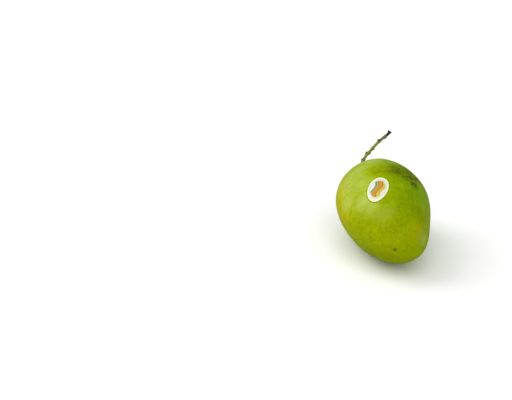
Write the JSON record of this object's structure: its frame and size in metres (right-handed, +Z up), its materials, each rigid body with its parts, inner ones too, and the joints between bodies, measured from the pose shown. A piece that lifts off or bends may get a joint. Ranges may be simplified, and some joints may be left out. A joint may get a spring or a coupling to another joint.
{
  "type": "mango",
  "caption": "Whole green mango lying on one cheek, egg-shaped with an off-centre apex, a knobby cut stem in a shallow basin and an oval label on the upper cheek.",
  "frame": {"origin": "middle of the small flat spot on the lower cheek that the fruit rests on", "axes": "+Z up; the fruit lies along Y with its apex toward -Y and its stem end toward +Y; the belly edge looks toward +X and the back edge toward -X"},
  "size_m": [0.0902, 0.1645, 0.0913],
  "materials": {
    "skin": "waxy, half gloss, yellow-green with a pale bloom",
    "stem": "matt olive-brown bark, dark at the cut end",
    "label": "semi-gloss film, cream rim with a plain pattern of coloured bands"
  },
  "bodies": {
    "root": {"fruit": "skin", "stem": "stem", "sticker": "label"}
  },
  "joints": []
}
